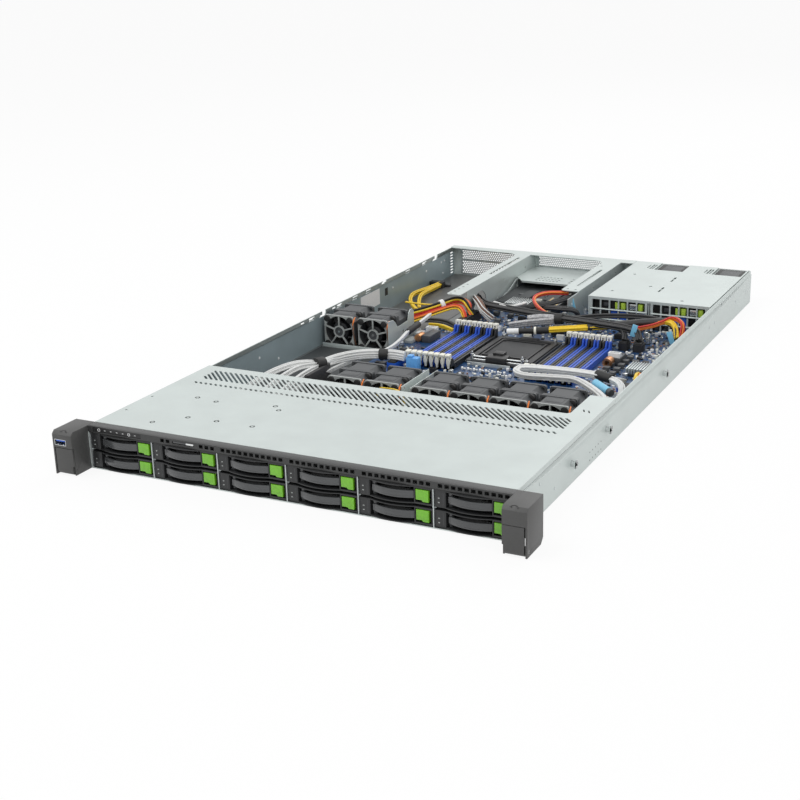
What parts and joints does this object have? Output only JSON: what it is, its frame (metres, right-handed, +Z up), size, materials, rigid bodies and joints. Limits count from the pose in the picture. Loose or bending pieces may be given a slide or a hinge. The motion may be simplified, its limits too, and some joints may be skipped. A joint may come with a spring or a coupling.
{
  "type": "rack server",
  "caption": "Flat open-topped rack server with front drive trays, fan row, main board with memory banks, plug-in power supplies and rack ears.",
  "frame": {"origin": "middle of the underside of the whole unit", "axes": "+X to the right of someone facing the drive trays, +Y from the front to the rear, +Z up"},
  "size_m": [0.4826, 0.8728, 0.0435],
  "materials": {
    "zinc_steel": "satin",
    "screen_steel": "satin",
    "bezel_paint": "satin",
    "board_blue": "satin",
    "slot_plastic": "matte",
    "socket_steel": "satin",
    "cable_sleeve": "matte",
    "fan_plastic": "matte",
    "rotor_plastic": "satin",
    "supply_steel": "satin",
    "tray_plastic": "matte",
    "lever_plastic": "satin",
    "latch_green": "gloss"
  },
  "bodies": {
    "chassis": {"chassis_tray": "zinc_steel", "front_cover": "zinc_steel", "front_bezel": "bezel_paint", "drive_cage": "zinc_steel", "rear_screens": "screen_steel", "rear_bay_frames": "zinc_steel", "circuit_boards": "board_blue", "memory_slots": "slot_plastic", "cpu_socket": "socket_steel", "rack_ears": "bezel_paint", "internal_cables": "cable_sleeve", "fan_frames": "fan_plastic"},
    "ear_flap_left": {"ear_flap_left": "bezel_paint"},
    "ear_flap_right": {"ear_flap_right": "bezel_paint"},
    "fan_rotor_1": {"fan_rotor_1": "rotor_plastic"},
    "fan_rotor_2": {"fan_rotor_2": "rotor_plastic"},
    "fan_rotor_3": {"fan_rotor_3": "rotor_plastic"},
    "fan_rotor_4": {"fan_rotor_4": "rotor_plastic"},
    "fan_rotor_5": {"fan_rotor_5": "rotor_plastic"},
    "fan_rotor_6": {"fan_rotor_6": "rotor_plastic"},
    "fan_rotor_7": {"fan_rotor_7": "rotor_plastic"},
    "fan_rotor_8": {"fan_rotor_8": "rotor_plastic"},
    "power_supply_1": {"power_supply_1": "supply_steel"},
    "power_supply_2": {"power_supply_2": "supply_steel"},
    "drive_tray_1": {"drive_tray_1": "tray_plastic"},
    "tray_lever_1": {"tray_lever_1": "lever_plastic"},
    "tray_latch_1": {"tray_latch_1": "latch_green"},
    "drive_tray_2": {"drive_tray_2": "tray_plastic"},
    "tray_lever_2": {"tray_lever_2": "lever_plastic"},
    "tray_latch_2": {"tray_latch_2": "latch_green"},
    "drive_tray_3": {"drive_tray_3": "tray_plastic"},
    "tray_lever_3": {"tray_lever_3": "lever_plastic"},
    "tray_latch_3": {"tray_latch_3": "latch_green"},
    "drive_tray_4": {"drive_tray_4": "tray_plastic"},
    "tray_lever_4": {"tray_lever_4": "lever_plastic"},
    "tray_latch_4": {"tray_latch_4": "latch_green"},
    "drive_tray_5": {"drive_tray_5": "tray_plastic"},
    "tray_lever_5": {"tray_lever_5": "lever_plastic"},
    "tray_latch_5": {"tray_latch_5": "latch_green"},
    "drive_tray_6": {"drive_tray_6": "tray_plastic"},
    "tray_lever_6": {"tray_lever_6": "lever_plastic"},
    "tray_latch_6": {"tray_latch_6": "latch_green"},
    "drive_tray_7": {"drive_tray_7": "tray_plastic"},
    "tray_lever_7": {"tray_lever_7": "lever_plastic"},
    "tray_latch_7": {"tray_latch_7": "latch_green"},
    "drive_tray_8": {"drive_tray_8": "tray_plastic"},
    "tray_lever_8": {"tray_lever_8": "lever_plastic"},
    "tray_latch_8": {"tray_latch_8": "latch_green"},
    "drive_tray_9": {"drive_tray_9": "tray_plastic"},
    "tray_lever_9": {"tray_lever_9": "lever_plastic"},
    "tray_latch_9": {"tray_latch_9": "latch_green"},
    "drive_tray_10": {"drive_tray_10": "tray_plastic"},
    "tray_lever_10": {"tray_lever_10": "lever_plastic"},
    "tray_latch_10": {"tray_latch_10": "latch_green"},
    "drive_tray_11": {"drive_tray_11": "tray_plastic"},
    "tray_lever_11": {"tray_lever_11": "lever_plastic"},
    "tray_latch_11": {"tray_latch_11": "latch_green"},
    "drive_tray_12": {"drive_tray_12": "tray_plastic"},
    "tray_lever_12": {"tray_lever_12": "lever_plastic"},
    "tray_latch_12": {"tray_latch_12": "latch_green"}
  },
  "joints": [
    {"name": "ear_flap_left_hinge", "type": "hinge", "parent": "chassis", "child": "ear_flap_left", "pos_m": [-0.23, -0.4321, 0.0046], "axis": [1, 0, 0], "range_deg": [0, 80]},
    {"name": "ear_flap_right_hinge", "type": "hinge", "parent": "chassis", "child": "ear_flap_right", "pos_m": [0.23, -0.4321, 0.0046], "axis": [1, 0, 0], "range_deg": [0, 80]},
    {"name": "fan_rotor_1_spin", "type": "hinge", "parent": "chassis", "child": "fan_rotor_1", "pos_m": [-0.067, -0.1556, 0.021], "axis": [0, 1, 0], "continuous": true},
    {"name": "fan_rotor_2_spin", "type": "hinge", "parent": "chassis", "child": "fan_rotor_2", "pos_m": [-0.0233, -0.1556, 0.021], "axis": [0, 1, 0], "continuous": true},
    {"name": "fan_rotor_3_spin", "type": "hinge", "parent": "chassis", "child": "fan_rotor_3", "pos_m": [0.0317, -0.1556, 0.021], "axis": [0, 1, 0], "continuous": true},
    {"name": "fan_rotor_4_spin", "type": "hinge", "parent": "chassis", "child": "fan_rotor_4", "pos_m": [0.0754, -0.1556, 0.021], "axis": [0, 1, 0], "continuous": true},
    {"name": "fan_rotor_5_spin", "type": "hinge", "parent": "chassis", "child": "fan_rotor_5", "pos_m": [0.1191, -0.1556, 0.021], "axis": [0, 1, 0], "continuous": true},
    {"name": "fan_rotor_6_spin", "type": "hinge", "parent": "chassis", "child": "fan_rotor_6", "pos_m": [0.1628, -0.1556, 0.021], "axis": [0, 1, 0], "continuous": true},
    {"name": "fan_rotor_7_spin", "type": "hinge", "parent": "chassis", "child": "fan_rotor_7", "pos_m": [-0.1916, 0.0534, 0.021], "axis": [0, 1, 0], "continuous": true},
    {"name": "fan_rotor_8_spin", "type": "hinge", "parent": "chassis", "child": "fan_rotor_8", "pos_m": [-0.145, 0.0534, 0.021], "axis": [0, 1, 0], "continuous": true},
    {"name": "power_supply_1_slide", "type": "slide", "parent": "chassis", "child": "power_supply_1", "axis": [0, 1, 0], "range_m": [0, 0.18]},
    {"name": "power_supply_2_slide", "type": "slide", "parent": "chassis", "child": "power_supply_2", "axis": [0, 1, 0], "range_m": [0, 0.18]},
    {"name": "drive_tray_1_slide", "type": "slide", "parent": "chassis", "child": "drive_tray_1", "axis": [0, -1, 0], "range_m": [0, 0.11]},
    {"name": "tray_lever_1_hinge", "type": "hinge", "parent": "drive_tray_1", "child": "tray_lever_1", "pos_m": [-0.2033, -0.4056, 0.0094], "axis": [0, 0, -1], "range_deg": [0, 45]},
    {"name": "tray_latch_1_slide", "type": "slide", "parent": "drive_tray_1", "child": "tray_latch_1", "axis": [1, 0, 0], "range_m": [0, 0.002], "stiffness_N_per_m": 200},
    {"name": "drive_tray_2_slide", "type": "slide", "parent": "chassis", "child": "drive_tray_2", "axis": [0, -1, 0], "range_m": [0, 0.11]},
    {"name": "tray_lever_2_hinge", "type": "hinge", "parent": "drive_tray_2", "child": "tray_lever_2", "pos_m": [-0.1313, -0.4056, 0.0094], "axis": [0, 0, -1], "range_deg": [0, 45]},
    {"name": "tray_latch_2_slide", "type": "slide", "parent": "drive_tray_2", "child": "tray_latch_2", "axis": [1, 0, 0], "range_m": [0, 0.002], "stiffness_N_per_m": 200},
    {"name": "drive_tray_3_slide", "type": "slide", "parent": "chassis", "child": "drive_tray_3", "axis": [0, -1, 0], "range_m": [0, 0.11]},
    {"name": "tray_lever_3_hinge", "type": "hinge", "parent": "drive_tray_3", "child": "tray_lever_3", "pos_m": [-0.0585, -0.4056, 0.0094], "axis": [0, 0, -1], "range_deg": [0, 45]},
    {"name": "tray_latch_3_slide", "type": "slide", "parent": "drive_tray_3", "child": "tray_latch_3", "axis": [1, 0, 0], "range_m": [0, 0.002], "stiffness_N_per_m": 200},
    {"name": "drive_tray_4_slide", "type": "slide", "parent": "chassis", "child": "drive_tray_4", "axis": [0, -1, 0], "range_m": [0, 0.11]},
    {"name": "tray_lever_4_hinge", "type": "hinge", "parent": "drive_tray_4", "child": "tray_lever_4", "pos_m": [0.0143, -0.4056, 0.0094], "axis": [0, 0, -1], "range_deg": [0, 45]},
    {"name": "tray_latch_4_slide", "type": "slide", "parent": "drive_tray_4", "child": "tray_latch_4", "axis": [1, 0, 0], "range_m": [0, 0.002], "stiffness_N_per_m": 200},
    {"name": "drive_tray_5_slide", "type": "slide", "parent": "chassis", "child": "drive_tray_5", "axis": [0, -1, 0], "range_m": [0, 0.11]},
    {"name": "tray_lever_5_hinge", "type": "hinge", "parent": "drive_tray_5", "child": "tray_lever_5", "pos_m": [0.0871, -0.4056, 0.0094], "axis": [0, 0, -1], "range_deg": [0, 45]},
    {"name": "tray_latch_5_slide", "type": "slide", "parent": "drive_tray_5", "child": "tray_latch_5", "axis": [1, 0, 0], "range_m": [0, 0.002], "stiffness_N_per_m": 200},
    {"name": "drive_tray_6_slide", "type": "slide", "parent": "chassis", "child": "drive_tray_6", "axis": [0, -1, 0], "range_m": [0, 0.11]},
    {"name": "tray_lever_6_hinge", "type": "hinge", "parent": "drive_tray_6", "child": "tray_lever_6", "pos_m": [0.1599, -0.4056, 0.0094], "axis": [0, 0, -1], "range_deg": [0, 45]},
    {"name": "tray_latch_6_slide", "type": "slide", "parent": "drive_tray_6", "child": "tray_latch_6", "axis": [1, 0, 0], "range_m": [0, 0.002], "stiffness_N_per_m": 200},
    {"name": "drive_tray_7_slide", "type": "slide", "parent": "chassis", "child": "drive_tray_7", "axis": [0, -1, 0], "range_m": [0, 0.11]},
    {"name": "tray_lever_7_hinge", "type": "hinge", "parent": "drive_tray_7", "child": "tray_lever_7", "pos_m": [-0.2033, -0.4056, 0.028], "axis": [0, 0, -1], "range_deg": [0, 45]},
    {"name": "tray_latch_7_slide", "type": "slide", "parent": "drive_tray_7", "child": "tray_latch_7", "axis": [1, 0, 0], "range_m": [0, 0.002], "stiffness_N_per_m": 200},
    {"name": "drive_tray_8_slide", "type": "slide", "parent": "chassis", "child": "drive_tray_8", "axis": [0, -1, 0], "range_m": [0, 0.11]},
    {"name": "tray_lever_8_hinge", "type": "hinge", "parent": "drive_tray_8", "child": "tray_lever_8", "pos_m": [-0.1313, -0.4056, 0.028], "axis": [0, 0, -1], "range_deg": [0, 45]},
    {"name": "tray_latch_8_slide", "type": "slide", "parent": "drive_tray_8", "child": "tray_latch_8", "axis": [1, 0, 0], "range_m": [0, 0.002], "stiffness_N_per_m": 200},
    {"name": "drive_tray_9_slide", "type": "slide", "parent": "chassis", "child": "drive_tray_9", "axis": [0, -1, 0], "range_m": [0, 0.11]},
    {"name": "tray_lever_9_hinge", "type": "hinge", "parent": "drive_tray_9", "child": "tray_lever_9", "pos_m": [-0.0585, -0.4056, 0.028], "axis": [0, 0, -1], "range_deg": [0, 45]},
    {"name": "tray_latch_9_slide", "type": "slide", "parent": "drive_tray_9", "child": "tray_latch_9", "axis": [1, 0, 0], "range_m": [0, 0.002], "stiffness_N_per_m": 200},
    {"name": "drive_tray_10_slide", "type": "slide", "parent": "chassis", "child": "drive_tray_10", "axis": [0, -1, 0], "range_m": [0, 0.11]},
    {"name": "tray_lever_10_hinge", "type": "hinge", "parent": "drive_tray_10", "child": "tray_lever_10", "pos_m": [0.0143, -0.4056, 0.028], "axis": [0, 0, -1], "range_deg": [0, 45]},
    {"name": "tray_latch_10_slide", "type": "slide", "parent": "drive_tray_10", "child": "tray_latch_10", "axis": [1, 0, 0], "range_m": [0, 0.002], "stiffness_N_per_m": 200},
    {"name": "drive_tray_11_slide", "type": "slide", "parent": "chassis", "child": "drive_tray_11", "axis": [0, -1, 0], "range_m": [0, 0.11]},
    {"name": "tray_lever_11_hinge", "type": "hinge", "parent": "drive_tray_11", "child": "tray_lever_11", "pos_m": [0.0871, -0.4056, 0.028], "axis": [0, 0, -1], "range_deg": [0, 45]},
    {"name": "tray_latch_11_slide", "type": "slide", "parent": "drive_tray_11", "child": "tray_latch_11", "axis": [1, 0, 0], "range_m": [0, 0.002], "stiffness_N_per_m": 200},
    {"name": "drive_tray_12_slide", "type": "slide", "parent": "chassis", "child": "drive_tray_12", "axis": [0, -1, 0], "range_m": [0, 0.11]},
    {"name": "tray_lever_12_hinge", "type": "hinge", "parent": "drive_tray_12", "child": "tray_lever_12", "pos_m": [0.1599, -0.4056, 0.028], "axis": [0, 0, -1], "range_deg": [0, 45]},
    {"name": "tray_latch_12_slide", "type": "slide", "parent": "drive_tray_12", "child": "tray_latch_12", "axis": [1, 0, 0], "range_m": [0, 0.002], "stiffness_N_per_m": 200}
  ]
}
